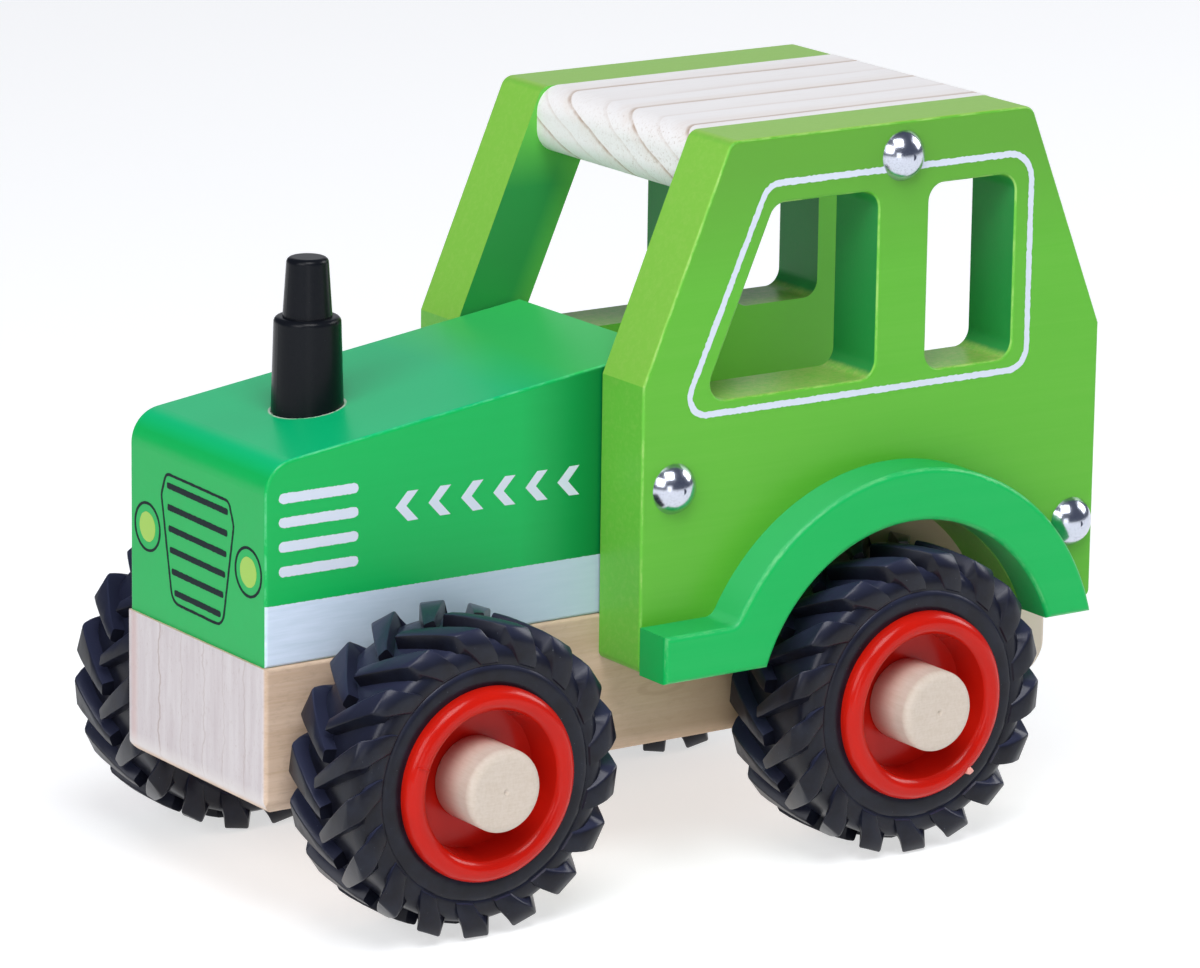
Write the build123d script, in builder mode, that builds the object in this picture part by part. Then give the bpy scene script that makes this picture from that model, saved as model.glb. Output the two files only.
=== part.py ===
"""Wooden toy tractor with an open cab, rubber tyres and free-turning wheels.

Frame: millimetres, +X is forwards, +Y is the driver's left, +Z is up.
Origin: on the ground, under the middle of the toy's bounding box.
"""
import os
from math import acos, asin, degrees

from build123d import *

# ---------------------------------------------------------------- driving dimensions
LENGTH = 167.0              # rear of the cab to the nose of the chassis
HEIGHT = 130.0              # ground to the top of the roof
REAR_X = -LENGTH / 2
FRONT_X = LENGTH / 2

BLOCK_WIDTH = 46.0          # chassis, seat block and roof board, between the cab sides
CHASSIS_BOTTOM = 20.0
CHASSIS_TOP = 46.0
CHASSIS_NOSE_R = 3.5        # rounding of the lower front edge
CHASSIS_TAIL_R = 9.0        # rounding of the lower rear edge
CHASSIS_LOW_R = 3.0         # rounding of the long lower edges

SIDE_THICKNESS = 12.5
FENDER_THICKNESS = 8.0
SIDE_IN = BLOCK_WIDTH / 2   # inner face of a cab side, from the centre plane
SIDE_OUT = SIDE_IN + SIDE_THICKNESS
FENDER_OUT = SIDE_OUT + FENDER_THICKNESS

# cab side outline
SIDE_FRONT_X = 15.5
SIDE_BOTTOM = 38.0
KNEE_Z = 89.0               # height where the front and rear edges start to lean
ROOF_FRONT_X = -2.0
ROOF_REAR_X = -67.0
TOP_CORNER_R = 2.5
LOW_CORNER_R = 1.5
SILL_Z = 84.8
HEAD_Z = 118.2
FRONT_WINDOW_X = (3.1, -11.5, -33.7)    # foot of the slant, head of the slant, rear edge
REAR_WINDOW_X = (-44.7, -63.7)
WINDOW_R = 3.2

BONNET_WIDTH = 45.0
BONNET_FRONT_X = FRONT_X - 0.5
BONNET_REAR_X = 3.0
BONNET_FRONT_TOP = 81.0
BONNET_REAR_TOP = 92.0
BONNET_NOSE_R = 6.0

ROOF_THICKNESS = 12.0
ROOF_BOARD_FRONT_X = -1.0
ROOF_NOSE_R = 4.5
ROOF_TAIL_R = 1.0

SEAT_FRONT_X = -33.5
SEAT_TOP = 62.0

# wheels; distances named IN and OUT are from the toy's centre plane
WHEEL_R = 27.5
AXLE_X = {"front": 54.0, "rear": -37.0}
ARCH_R = 32.5               # wheel arch in the cab sides and the fenders
TYRE_IN = 25.85
TYRE_OUT = 46.85
TYRE_MID = (TYRE_IN + TYRE_OUT) / 2
TREAD_HALF = 9.2            # crown to the edge of the tread
TREAD_EDGE_R = 27.2
SHOULDER_R = 26.2           # middle of the rounding between tread and sidewall
SHOULDER_INSET = 0.3
WALL_TOP_R = 24.8           # the flat of the sidewall
WALL_LOW_R = 21.0
RIM_R = 17.0                # the rim's lip, where it meets the tyre
BARREL_R = 16.0             # the rim's barrel, under the tyre
BARREL_GAP = 0.05
LIP_OUT = 48.9              # crest of the rolled lip
LIP_CREST_R = 14.6
LIP_INNER_R = 13.2
DISH_FLOOR = 41.5
DISH_FLOOR_R = 12.4
HUB_R = 7.0
HUB_IN = 23.5
WALL = 2.0                  # wall of the moulded rim
FLANGE = 0.6                # width of the flanges that hold the tyre

LUG_COUNT = 17              # on each half of the tread
LUG_SLANT = 35.0            # lug direction from the axle direction, degrees
GROOVE_WIDTH = 4.8
GROOVE_FLOOR_R = 25.0
GROOVE_LENGTH = 16.0

# axle pegs
PEG_HEAD_R = 7.3
PEG_END = 52.5
PEG_EDGE_R = 1.5
PEG_MARK_R = 0.6            # the lathe's centre mark in the end
PEG_MARK_DEPTH = 0.4
PEG_SHANK_R = 4.0
PEG_DEPTH = 15.0            # length of the shank in the chassis
RUNNING_GAP = 0.08          # shank in the rim's bore, per side
END_PLAY = 0.3              # peg head to the dish floor

# dome-headed nails, three through each cab side
NAIL_HEAD_R = 4.5
NAIL_HEAD_H = 3.0
NAIL_SHANK_R = 1.2
NAIL_GRIP = 12.0            # length in the block behind the cab side
ROOF_NAIL = (-38.7, 123.9)
BONNET_NAIL = (8.8, 70.3)
SEAT_NAIL = (-78.5, 52.8)

# glued dowels
GLUE_GAP = 0.05
DOWEL_R = 3.0
DOWEL_HALF = 10.0           # length on each side of the joint
PIN_R = 2.0
PIN_HALF = 5.0
BONNET_DOWEL_X = (20.0, 66.0)
SEAT_DOWEL_X = (-70.0, -45.0)

# fenders
FENDER_R = 42.0
FENDER_STEP_TOP = 46.5
FENDER_STEP_R = 2.5
FENDER_MID_R = (ARCH_R + FENDER_R) / 2
FENDER_PIN_ANGLES = (90, 150)
FENDER_STEP_PIN = (7.0, 42.2)

# exhaust stack
EXHAUST_X = 61.0
EXHAUST_FOOT_Z = 83.0
EXHAUST_SHOULDER_Z = 100.0
EXHAUST_TOP_Z = 110.3
EXHAUST_FOOT_R = 6.3
EXHAUST_SHOULDER_R = 5.8
EXHAUST_NECK_R = 4.3
EXHAUST_TIP_R = 3.6
SPIGOT_R = 3.0
SPIGOT_LENGTH = 12.0

SOFT_EDGE = 1.0             # sanded edges
FINE_EDGE = 0.6

AXLE_Z = WHEEL_R
SIDES = {"left": 1, "right": -1}


# ---------------------------------------------------------------- helpers
def upright(y):
    """Upright plane across the toy at y, drawn with x forwards and y up."""
    return Plane.XZ.offset(-y)


def wheel_plane(x, side):
    """Plane through a wheel's axis: local x runs outwards from the centre plane, local y up."""
    return Plane(origin=(x, 0, AXLE_Z), x_dir=(0, side, 0), z_dir=(side, 0, 0))


def wheel_axis(x):
    return Axis((x, 0, AXLE_Z), (0, 1, 0))


def drill_side(place, radius, depth, start):
    """Blind holes into both sides of the current part, from |y| = start inwards."""
    for side in SIDES.values():
        with BuildSketch(upright(side * start)) as hole:
            with Locations(place):
                Circle(radius)
        extrude(hole.sketch, amount=side * depth, mode=Mode.SUBTRACT)


def drill_down(top_z, x, radius, depth):
    """A blind hole on the centre plane, from top_z downwards."""
    with BuildSketch(Plane.XY.offset(top_z)) as hole:
        with Locations((x, 0)):
            Circle(radius)
    extrude(hole.sketch, amount=-depth, mode=Mode.SUBTRACT)


def dowel_holes(joint_z, places, downwards):
    """Holes for the upright dowels of one joint, below or above its plane."""
    depth = DOWEL_HALF + END_PLAY
    for x in places:
        drill_down(joint_z if downwards else joint_z + depth, x, DOWEL_R + GLUE_GAP, depth)


def round_corners(sketch, radius, *corners):
    """Round the corners of a sketch that are nearest to the given places."""
    for x, y in corners:
        fillet(sketch.vertices().sort_by_distance((x, y, 0))[0], radius)


def save(builder, label):
    builder.part.label = label
    export_step(builder.part, f"parts/{label}.step")


# ---------------------------------------------------------------- wooden body
def make_chassis():
    height = CHASSIS_TOP - CHASSIS_BOTTOM
    mid_z = (CHASSIS_TOP + CHASSIS_BOTTOM) / 2
    with BuildPart() as chassis:
        with BuildSketch(upright(0)) as profile:
            with Locations((0, mid_z)):
                Rectangle(LENGTH, height)
            round_corners(profile, CHASSIS_TAIL_R, (REAR_X, CHASSIS_BOTTOM))
            round_corners(profile, CHASSIS_NOSE_R, (FRONT_X, CHASSIS_BOTTOM))
        extrude(amount=SIDE_IN, both=True)
        with BuildSketch(Plane.YZ) as section:
            with Locations((0, mid_z)):
                Rectangle(BLOCK_WIDTH, height)
            round_corners(section, CHASSIS_LOW_R, (-SIDE_IN, CHASSIS_BOTTOM), (SIDE_IN, CHASSIS_BOTTOM))
            round_corners(section, FINE_EDGE, (-SIDE_IN, CHASSIS_TOP), (SIDE_IN, CHASSIS_TOP))
        extrude(amount=FRONT_X, both=True, mode=Mode.INTERSECT)
        with BuildSketch(Plane.XY):
            RectangleRounded(LENGTH, BLOCK_WIDTH, SOFT_EDGE)
        extrude(amount=CHASSIS_TOP, mode=Mode.INTERSECT)
        for x in AXLE_X.values():
            drill_side((x, AXLE_Z), PEG_SHANK_R + GLUE_GAP, PEG_DEPTH + END_PLAY, SIDE_IN)
        dowel_holes(CHASSIS_TOP, BONNET_DOWEL_X + SEAT_DOWEL_X, downwards=True)
    save(chassis, "chassis")


def make_bonnet():
    with BuildPart() as bonnet:
        with BuildSketch(upright(0)) as profile:
            with BuildLine():
                Polyline(
                    (BONNET_REAR_X, CHASSIS_TOP),
                    (BONNET_FRONT_X, CHASSIS_TOP),
                    (BONNET_FRONT_X, BONNET_FRONT_TOP),
                    (BONNET_REAR_X, BONNET_REAR_TOP),
                    close=True,
                )
            make_face()
            round_corners(profile, BONNET_NOSE_R, (BONNET_FRONT_X, BONNET_FRONT_TOP))
        extrude(amount=BONNET_WIDTH / 2, both=True)
        side_faces = bonnet.faces().filter_by(Axis.Y)
        fillet(side_faces.edges(), FINE_EDGE)
        seat_top = BONNET_REAR_TOP
        seat_depth = seat_top - EXHAUST_FOOT_Z
        drill_down(seat_top, EXHAUST_X, EXHAUST_FOOT_R + GLUE_GAP, seat_depth)
        drill_down(EXHAUST_FOOT_Z, EXHAUST_X, SPIGOT_R + GLUE_GAP, SPIGOT_LENGTH + END_PLAY)
        dowel_holes(CHASSIS_TOP, BONNET_DOWEL_X, downwards=False)
        drill_side(BONNET_NAIL, NAIL_SHANK_R, NAIL_GRIP, SIDE_IN)
    save(bonnet, "bonnet")


def make_seat_block():
    with BuildPart() as seat:
        with BuildSketch(Plane.XY.offset(CHASSIS_TOP)):
            with Locations(((REAR_X + SEAT_FRONT_X) / 2, 0)):
                Rectangle(SEAT_FRONT_X - REAR_X, BLOCK_WIDTH)
        extrude(amount=SEAT_TOP - CHASSIS_TOP)
        fillet(seat.edges().group_by(Axis.Z)[-1], SOFT_EDGE)
        dowel_holes(CHASSIS_TOP, SEAT_DOWEL_X, downwards=False)
        drill_side(SEAT_NAIL, NAIL_SHANK_R, NAIL_GRIP, SIDE_IN)
    save(seat, "seat_block")


def make_roof_board():
    with BuildPart() as roof:
        with BuildSketch(upright(0)) as profile:
            with Locations(((ROOF_REAR_X + ROOF_BOARD_FRONT_X) / 2, HEIGHT - ROOF_THICKNESS / 2)):
                Rectangle(ROOF_BOARD_FRONT_X - ROOF_REAR_X, ROOF_THICKNESS)
            underside = HEIGHT - ROOF_THICKNESS
            round_corners(profile, ROOF_NOSE_R, (ROOF_BOARD_FRONT_X, HEIGHT), (ROOF_BOARD_FRONT_X, underside))
            round_corners(profile, ROOF_TAIL_R, (ROOF_REAR_X, HEIGHT), (ROOF_REAR_X, underside))
        extrude(amount=SIDE_IN, both=True)
        drill_side(ROOF_NAIL, NAIL_SHANK_R, NAIL_GRIP, SIDE_IN)
    save(roof, "roof_board")


def window(points):
    """Cut one window with rounded corners from the current sketch."""
    with BuildSketch(mode=Mode.PRIVATE) as opening:
        with BuildLine():
            Polyline(*points, close=True)
        make_face()
        fillet(opening.vertices(), WINDOW_R)
    add(opening.sketch, mode=Mode.SUBTRACT)


def fender_pin_places():
    """Centres of the pins that hold a fender on its cab side."""
    arch = Vector(AXLE_X["rear"], AXLE_Z)
    places = [FENDER_STEP_PIN]
    for angle in FENDER_PIN_ANGLES:
        spot = arch + Vector(FENDER_MID_R, 0).rotate(Axis.Z, angle)
        places.append((spot.X, spot.Y))
    return places


def make_cab_side(name, side):
    inner, outer = sorted((side * SIDE_IN, side * SIDE_OUT))
    with BuildPart() as panel:
        with BuildSketch(upright(outer)) as outline:
            with BuildLine():
                Polyline(
                    (SIDE_FRONT_X, SIDE_BOTTOM),
                    (SIDE_FRONT_X, KNEE_Z),
                    (ROOF_FRONT_X, HEIGHT),
                    (ROOF_REAR_X, HEIGHT),
                    (REAR_X, KNEE_Z),
                    (REAR_X, SIDE_BOTTOM),
                    close=True,
                )
            make_face()
            round_corners(outline, TOP_CORNER_R, (ROOF_FRONT_X, HEIGHT), (ROOF_REAR_X, HEIGHT))
            round_corners(outline, LOW_CORNER_R, (SIDE_FRONT_X, SIDE_BOTTOM), (REAR_X, SIDE_BOTTOM))
            foot_x, head_x, rear_x = FRONT_WINDOW_X
            window([(foot_x, SILL_Z), (head_x, HEAD_Z), (rear_x, HEAD_Z), (rear_x, SILL_Z)])
            front_x, rear_x = REAR_WINDOW_X
            window([(front_x, SILL_Z), (front_x, HEAD_Z), (rear_x, HEAD_Z), (rear_x, SILL_Z)])
            with Locations((AXLE_X["rear"], AXLE_Z)):
                Circle(ARCH_R, mode=Mode.SUBTRACT)
        extrude(amount=SIDE_THICKNESS)
        outer_face = panel.faces().filter_by(Axis.Y).sort_by(Axis.Y)[-1 if side > 0 else 0]
        fillet(outer_face.edges(), FINE_EDGE)
        for place in (ROOF_NAIL, BONNET_NAIL, SEAT_NAIL):
            with BuildSketch(upright(outer)):
                with Locations(place):
                    Circle(NAIL_SHANK_R)
            extrude(amount=outer - inner, mode=Mode.SUBTRACT)
        with BuildSketch(upright(side * SIDE_OUT)):
            with Locations(*fender_pin_places()):
                Circle(PIN_R + GLUE_GAP)
        extrude(amount=side * (PIN_HALF + END_PLAY), mode=Mode.SUBTRACT)
    save(panel, f"cab_side_{name}")


def make_fender(name, side):
    centre = (AXLE_X["rear"], AXLE_Z)
    lift = SIDE_BOTTOM - AXLE_Z
    step_angle = degrees(asin((FENDER_STEP_TOP - AXLE_Z) / FENDER_R))
    outer_low = degrees(asin(lift / FENDER_R))
    inner_low = degrees(asin(lift / ARCH_R))
    outer = max(side * SIDE_OUT, side * FENDER_OUT)
    with BuildPart() as fender:
        with BuildSketch(upright(outer)) as outline:
            with BuildLine():
                crown = CenterArc(centre, FENDER_R, step_angle, 180 - outer_low - step_angle)
                arch = CenterArc(centre, ARCH_R, inner_low, 180 - 2 * inner_low)
                Line(crown @ 1, arch @ 1)
                Polyline(
                    crown @ 0,
                    (SIDE_FRONT_X, FENDER_STEP_TOP),
                    (SIDE_FRONT_X, SIDE_BOTTOM),
                    arch @ 0,
                )
            make_face()
            round_corners(outline, FENDER_STEP_R, ((crown @ 0).X, (crown @ 0).Y))
        extrude(amount=FENDER_THICKNESS)
        outer_face = fender.faces().filter_by(Axis.Y).sort_by(Axis.Y)[-1 if side > 0 else 0]
        fillet(outer_face.edges(), SOFT_EDGE)
        with BuildSketch(upright(side * SIDE_OUT)):
            with Locations(*fender_pin_places()):
                Circle(PIN_R + GLUE_GAP)
        extrude(amount=-side * (PIN_HALF + END_PLAY), mode=Mode.SUBTRACT)
    save(fender, f"fender_{name}")


def make_exhaust():
    with BuildPart() as exhaust:
        with BuildSketch(Plane.XZ):
            with BuildLine():
                Polyline(
                    (EXHAUST_X, EXHAUST_FOOT_Z - SPIGOT_LENGTH),
                    (EXHAUST_X + SPIGOT_R, EXHAUST_FOOT_Z - SPIGOT_LENGTH),
                    (EXHAUST_X + SPIGOT_R, EXHAUST_FOOT_Z),
                    (EXHAUST_X + EXHAUST_FOOT_R, EXHAUST_FOOT_Z),
                    (EXHAUST_X + EXHAUST_SHOULDER_R, EXHAUST_SHOULDER_Z),
                    (EXHAUST_X + EXHAUST_NECK_R, EXHAUST_SHOULDER_Z),
                    (EXHAUST_X + EXHAUST_TIP_R, EXHAUST_TOP_Z),
                    (EXHAUST_X, EXHAUST_TOP_Z),
                    close=True,
                )
            make_face()
        revolve(axis=Axis((EXHAUST_X, 0, 0), (0, 0, 1)))
        turned_edges = exhaust.edges().filter_by(GeomType.CIRCLE)
        tip = turned_edges.sort_by(Axis.Z)[-1]
        shoulder = turned_edges.filter_by(lambda edge: edge.radius > EXHAUST_NECK_R).sort_by(Axis.Z)[-1]
        fillet([tip, shoulder], SOFT_EDGE)
    save(exhaust, "exhaust_stack")


# ---------------------------------------------------------------- dowels and nails
def make_upright_dowels(label, places):
    with BuildPart() as dowels:
        with BuildSketch(Plane.XY.offset(CHASSIS_TOP)):
            with Locations(*[(x, 0) for x in places]):
                Circle(DOWEL_R)
        extrude(amount=DOWEL_HALF, both=True)
        chamfer(dowels.edges().filter_by(GeomType.CIRCLE), FINE_EDGE)
    save(dowels, label)


def make_fender_pins(name, side):
    with BuildPart() as pins:
        with BuildSketch(upright(side * SIDE_OUT)):
            with Locations(*fender_pin_places()):
                Circle(PIN_R)
        extrude(amount=PIN_HALF, both=True)
    save(pins, f"fender_pins_{name}")


def make_dome_nails():
    dome_r = (NAIL_HEAD_R**2 + NAIL_HEAD_H**2) / (2 * NAIL_HEAD_H)
    half_angle = degrees(acos((dome_r - NAIL_HEAD_H) / dome_r))
    tip = SIDE_IN - NAIL_GRIP
    with BuildPart() as nails:
        for x, z in (ROOF_NAIL, BONNET_NAIL, SEAT_NAIL):
            for side in SIDES.values():
                profile_plane = Plane(origin=(x, 0, z), x_dir=(0, side, 0), z_dir=(side, 0, 0))
                with BuildSketch(profile_plane):
                    with BuildLine():
                        crest_centre = (SIDE_OUT + NAIL_HEAD_H - dome_r, 0)
                        dome = CenterArc(crest_centre, dome_r, 0, half_angle)
                        Polyline(
                            dome @ 1,
                            (SIDE_OUT, NAIL_SHANK_R),
                            (tip + NAIL_SHANK_R, NAIL_SHANK_R),
                            (tip, 0),
                            dome @ 0,
                        )
                    make_face()
                revolve(axis=Axis((x, 0, z), (0, 1, 0)))
    save(nails, "dome_nails")


# ---------------------------------------------------------------- wheels
def make_rim(name, x, side):
    tyre_in, tyre_out = TYRE_IN + FLANGE, TYRE_OUT - FLANGE
    with BuildPart() as rim:
        with BuildSketch(wheel_plane(x, side)):
            with BuildLine():
                lip = ThreePointArc(
                    (LIP_OUT - SOFT_EDGE, LIP_INNER_R),
                    (LIP_OUT, LIP_CREST_R),
                    (TYRE_OUT, RIM_R),
                )
                bore_r = PEG_SHANK_R + RUNNING_GAP
                Polyline(
                    lip @ 1,
                    (tyre_out, RIM_R),
                    (tyre_out, BARREL_R),
                    (tyre_in, BARREL_R),
                    (tyre_in, RIM_R),
                    (TYRE_IN, RIM_R),
                    (TYRE_IN, BARREL_R - WALL),
                    (DISH_FLOOR - WALL, BARREL_R - WALL),
                    (DISH_FLOOR - WALL, HUB_R),
                    (HUB_IN, HUB_R),
                    (HUB_IN, bore_r),
                    (DISH_FLOOR, bore_r),
                    (DISH_FLOOR, DISH_FLOOR_R),
                    lip @ 0,
                )
            make_face()
        revolve(axis=wheel_axis(x))
    save(rim, f"rim_{name}")


def make_tyre(name, x, side):
    bead_r = BARREL_R + BARREL_GAP
    half_bead = TYRE_OUT - FLANGE - BARREL_GAP - TYRE_MID
    half_wall = TYRE_OUT - TYRE_MID
    with BuildPart() as tyre:
        with BuildSketch(wheel_plane(x, side)):
            with BuildLine():
                for way in (1, -1):
                    tread = Line((TYRE_MID, WHEEL_R), (TYRE_MID + way * TREAD_HALF, TREAD_EDGE_R))
                    shoulder = ThreePointArc(
                        tread @ 1,
                        (TYRE_MID + way * (half_wall - SHOULDER_INSET), SHOULDER_R),
                        (TYRE_MID + way * half_wall, WALL_TOP_R),
                    )
                    Polyline(
                        shoulder @ 1,
                        (TYRE_MID + way * half_wall, WALL_LOW_R),
                        (TYRE_MID + way * half_bead, RIM_R),
                        (TYRE_MID + way * half_bead, bead_r),
                    )
                Line((TYRE_MID + half_bead, bead_r), (TYRE_MID - half_bead, bead_r))
            make_face()
        revolve(axis=wheel_axis(x))
        pitch = 360 / LUG_COUNT
        for way in (1, -1):
            for number in range(LUG_COUNT):
                angle = (number + way / 4) * pitch
                radial = Vector(0, 0, 1).rotate(Axis.Y, angle)
                along = Vector(0, side * way, 0).rotate(Axis((0, 0, 0), radial), -side * way * LUG_SLANT)
                start = Vector(x, side * TYRE_MID, AXLE_Z) + radial * GROOVE_FLOOR_R
                with BuildSketch(Plane(origin=start, x_dir=along, z_dir=radial)):
                    with Locations((SOFT_EDGE, 0)):
                        SlotOverall(GROOVE_LENGTH, GROOVE_WIDTH, align=(Align.MIN, Align.CENTER))
                extrude(amount=GROOVE_WIDTH, mode=Mode.SUBTRACT)
    save(tyre, f"tyre_{name}")


def make_peg(name, x, side):
    head_in = DISH_FLOOR + END_PLAY
    with BuildPart() as peg:
        with BuildSketch(wheel_plane(x, side)) as profile:
            with BuildLine():
                Polyline(
                    (SIDE_IN - PEG_DEPTH, 0),
                    (SIDE_IN - PEG_DEPTH, PEG_SHANK_R),
                    (head_in, PEG_SHANK_R),
                    (head_in, PEG_HEAD_R),
                    (PEG_END, PEG_HEAD_R),
                    (PEG_END, PEG_MARK_R),
                    (PEG_END - PEG_MARK_DEPTH, 0),
                    close=True,
                )
            make_face()
        revolve(axis=wheel_axis(x))
        end_edges = peg.edges().filter_by(GeomType.CIRCLE).group_by(Axis.Y)[-1 if side > 0 else 0]
        fillet(end_edges.sort_by(SortBy.RADIUS)[-1], PEG_EDGE_R)
    save(peg, f"axle_peg_{name}")


# ---------------------------------------------------------------- build every piece
os.makedirs("parts", exist_ok=True)
make_chassis()
make_bonnet()
make_seat_block()
make_roof_board()
make_exhaust()
make_upright_dowels("bonnet_dowels", BONNET_DOWEL_X)
make_upright_dowels("seat_dowels", SEAT_DOWEL_X)
make_dome_nails()
for side_name, sign in SIDES.items():
    make_cab_side(side_name, sign)
    make_fender(side_name, sign)
    make_fender_pins(side_name, sign)
    for end_name, axle_x in AXLE_X.items():
        wheel_name = f"{end_name}_{side_name}"
        make_peg(wheel_name, axle_x, sign)
        make_rim(wheel_name, axle_x, sign)
        make_tyre(wheel_name, axle_x, sign)
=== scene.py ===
"""Looks of the wooden toy tractor: paint, bare wood, printed details, moulded tyres, light and camera.

Lengths in this script are millimetres in the row frame unless a name says otherwise: +X forwards,
+Y the driver's left, +Z up. Colours are linear red, green and blue.
"""

import math
import random

import bpy
import bmesh
from mathutils import Matrix, Vector


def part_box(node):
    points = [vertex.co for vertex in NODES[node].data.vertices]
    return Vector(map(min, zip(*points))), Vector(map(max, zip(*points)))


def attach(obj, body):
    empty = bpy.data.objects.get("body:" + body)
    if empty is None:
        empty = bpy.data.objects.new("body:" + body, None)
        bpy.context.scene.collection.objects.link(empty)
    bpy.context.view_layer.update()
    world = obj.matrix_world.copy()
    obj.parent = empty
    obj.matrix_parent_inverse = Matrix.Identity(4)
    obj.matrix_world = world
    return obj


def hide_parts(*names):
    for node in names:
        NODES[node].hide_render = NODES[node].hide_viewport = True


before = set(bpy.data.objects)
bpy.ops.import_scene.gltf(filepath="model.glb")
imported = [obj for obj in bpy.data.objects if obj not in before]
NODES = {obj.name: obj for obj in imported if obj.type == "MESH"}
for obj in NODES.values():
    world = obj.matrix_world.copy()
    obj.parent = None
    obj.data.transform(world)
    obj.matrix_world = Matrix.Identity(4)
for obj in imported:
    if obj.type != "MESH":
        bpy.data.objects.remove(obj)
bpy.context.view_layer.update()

MM = 0.001
SIDES = {"left": 1, "right": -1}


def far_edge(node, axis):
    """Highest coordinate of a CAD node along an axis, in mm."""
    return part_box(node)[1]["xyz".index(axis)] / MM


def middle_of(node):
    """Middle of a CAD node's box, in mm."""
    low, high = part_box(node)
    return (low + high) / 2 / MM


# ---------------------------------------------------------------- node helper
def shade(color, factor):
    return tuple(factor * channel for channel in color)


class Paint:
    """Builds one node material around a Principled shader, in object coordinates."""

    def __init__(self, name, color=None, roughness=0.5, specular=0.5, metallic=0.0):
        self.material = bpy.data.materials.new(name)
        self.material.use_nodes = True
        self.tree = self.material.node_tree
        self.shader = self.tree.nodes["Principled BSDF"]
        place = self.tree.nodes.new("ShaderNodeTexCoord")
        self.object = place.outputs["Object"]
        self.normal = place.outputs["Normal"]
        self.set("Roughness", roughness)
        self.set("Specular IOR Level", specular)
        self.set("Metallic", metallic)
        if color:
            self.set("Base Color", (*color, 1))

    def put(self, socket, value):
        if isinstance(value, bpy.types.NodeSocket):
            self.tree.links.new(value, socket)
        else:
            socket.default_value = value

    def set(self, name, value):
        self.put(self.shader.inputs[name], value)

    def node(self, kind, values, **props):
        made = self.tree.nodes.new(kind)
        for key, value in props.items():
            setattr(made, key, value)
        for key, value in values.items():
            self.put(made.inputs[key], value)
        return made

    def math(self, operation, a, b=0.0):
        return self.node("ShaderNodeMath", {0: a, 1: b}, operation=operation).outputs[0]

    def total(self, first, *others):
        for other in others:
            first = self.math("ADD", first, other)
        return first

    def product(self, first, *others):
        for other in others:
            first = self.math("MULTIPLY", first, other)
        return first

    def absolute(self, value):
        return self.math("ABSOLUTE", value)

    def distance(self, a, b):
        """Length of the hypotenuse over two legs."""
        return self.math("SQRT", self.total(self.math("POWER", a, 2.0), self.math("POWER", b, 2.0)))

    def axis(self, vector, name):
        return self.node("ShaderNodeSeparateXYZ", {0: vector}).outputs[name]

    def mm(self, name):
        """One object coordinate in mm."""
        return self.math("DIVIDE", self.axis(self.object, name), MM)

    def noise(self, per_mm, detail, rough, distort=0.0):
        """Noise with so many cycles per mm along each axis."""
        scale = tuple(cycles / MM for cycles in per_mm)
        vector = self.node("ShaderNodeMapping", {"Vector": self.object, "Scale": scale}).outputs[0]
        return self.node("ShaderNodeTexNoise", {"Vector": vector, "Scale": 1.0, "Detail": detail,
                                                "Roughness": rough, "Distortion": distort}).outputs[0]

    def ramp(self, value, low, high, out_low=0.0, out_high=1.0):
        """Goes evenly from out_low at low to out_high at high, and stays there beyond."""
        return self.node("ShaderNodeMapRange", {0: value, 1: low, 2: high, 3: out_low, 4: out_high},
                         clamp=True).outputs[0]

    def mix(self, share, a, b):
        a, b = [v if isinstance(v, bpy.types.NodeSocket) else (*v, 1) for v in (a, b)]
        return self.node("ShaderNodeMix", {0: share, 6: a, 7: b}, data_type="RGBA").outputs[2]

    def bump(self, height, depth_mm, strength):
        values = {"Height": height, "Strength": strength, "Distance": depth_mm * MM}
        self.set("Normal", self.node("ShaderNodeBump", values).outputs[0])


def dress(paint, *nodes):
    """Gives CAD nodes a material."""
    for name in nodes:
        NODES[name].data.materials.clear()
        NODES[name].data.materials.append(paint.material)


def named(start):
    return [name for name in NODES if name.startswith(start)]


# ---------------------------------------------------------------- beech
BEECH_EYE = (2.0, 31.0)     # x and z of an eye in the figure
EYE_REACH = 4.2             # how far its rings reach, mm
EYE_STRETCH = 0.28          # its rings are this much slower along the grain
DARKER_REARWARDS = (40.0, -10.0)     # the sides darken from the first x to the second
PALER_TAIL = (-60.0, -74.0)    # and pale towards the tail
END_FOOT = (24.5, 22.5)     # the end grain pales from the first z down to the second
ROSY_SEAM = (-20.6, 1.6)    # y and half width of a rosy streak beside the front's edge
# lines on the chassis' front: y, half width, strength
END_SEAMS = [(-12.0, 0.35, 0.55), (-4.5, 0.25, 0.25), (3.0, 0.3, 0.30), (9.5, 0.25, 0.22), (16.5, 0.3, 0.28)]


def seam(p, coordinate, place, half_width, wander_mm, wander):
    """A wandering line at one place along a coordinate in mm: 1 on the line, 0 beside it."""
    moved = p.total(coordinate, -place, p.product(p.math("SUBTRACT", wander, 0.5), wander_mm))
    return p.ramp(p.absolute(moved), half_width, half_width * 0.2)


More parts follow.
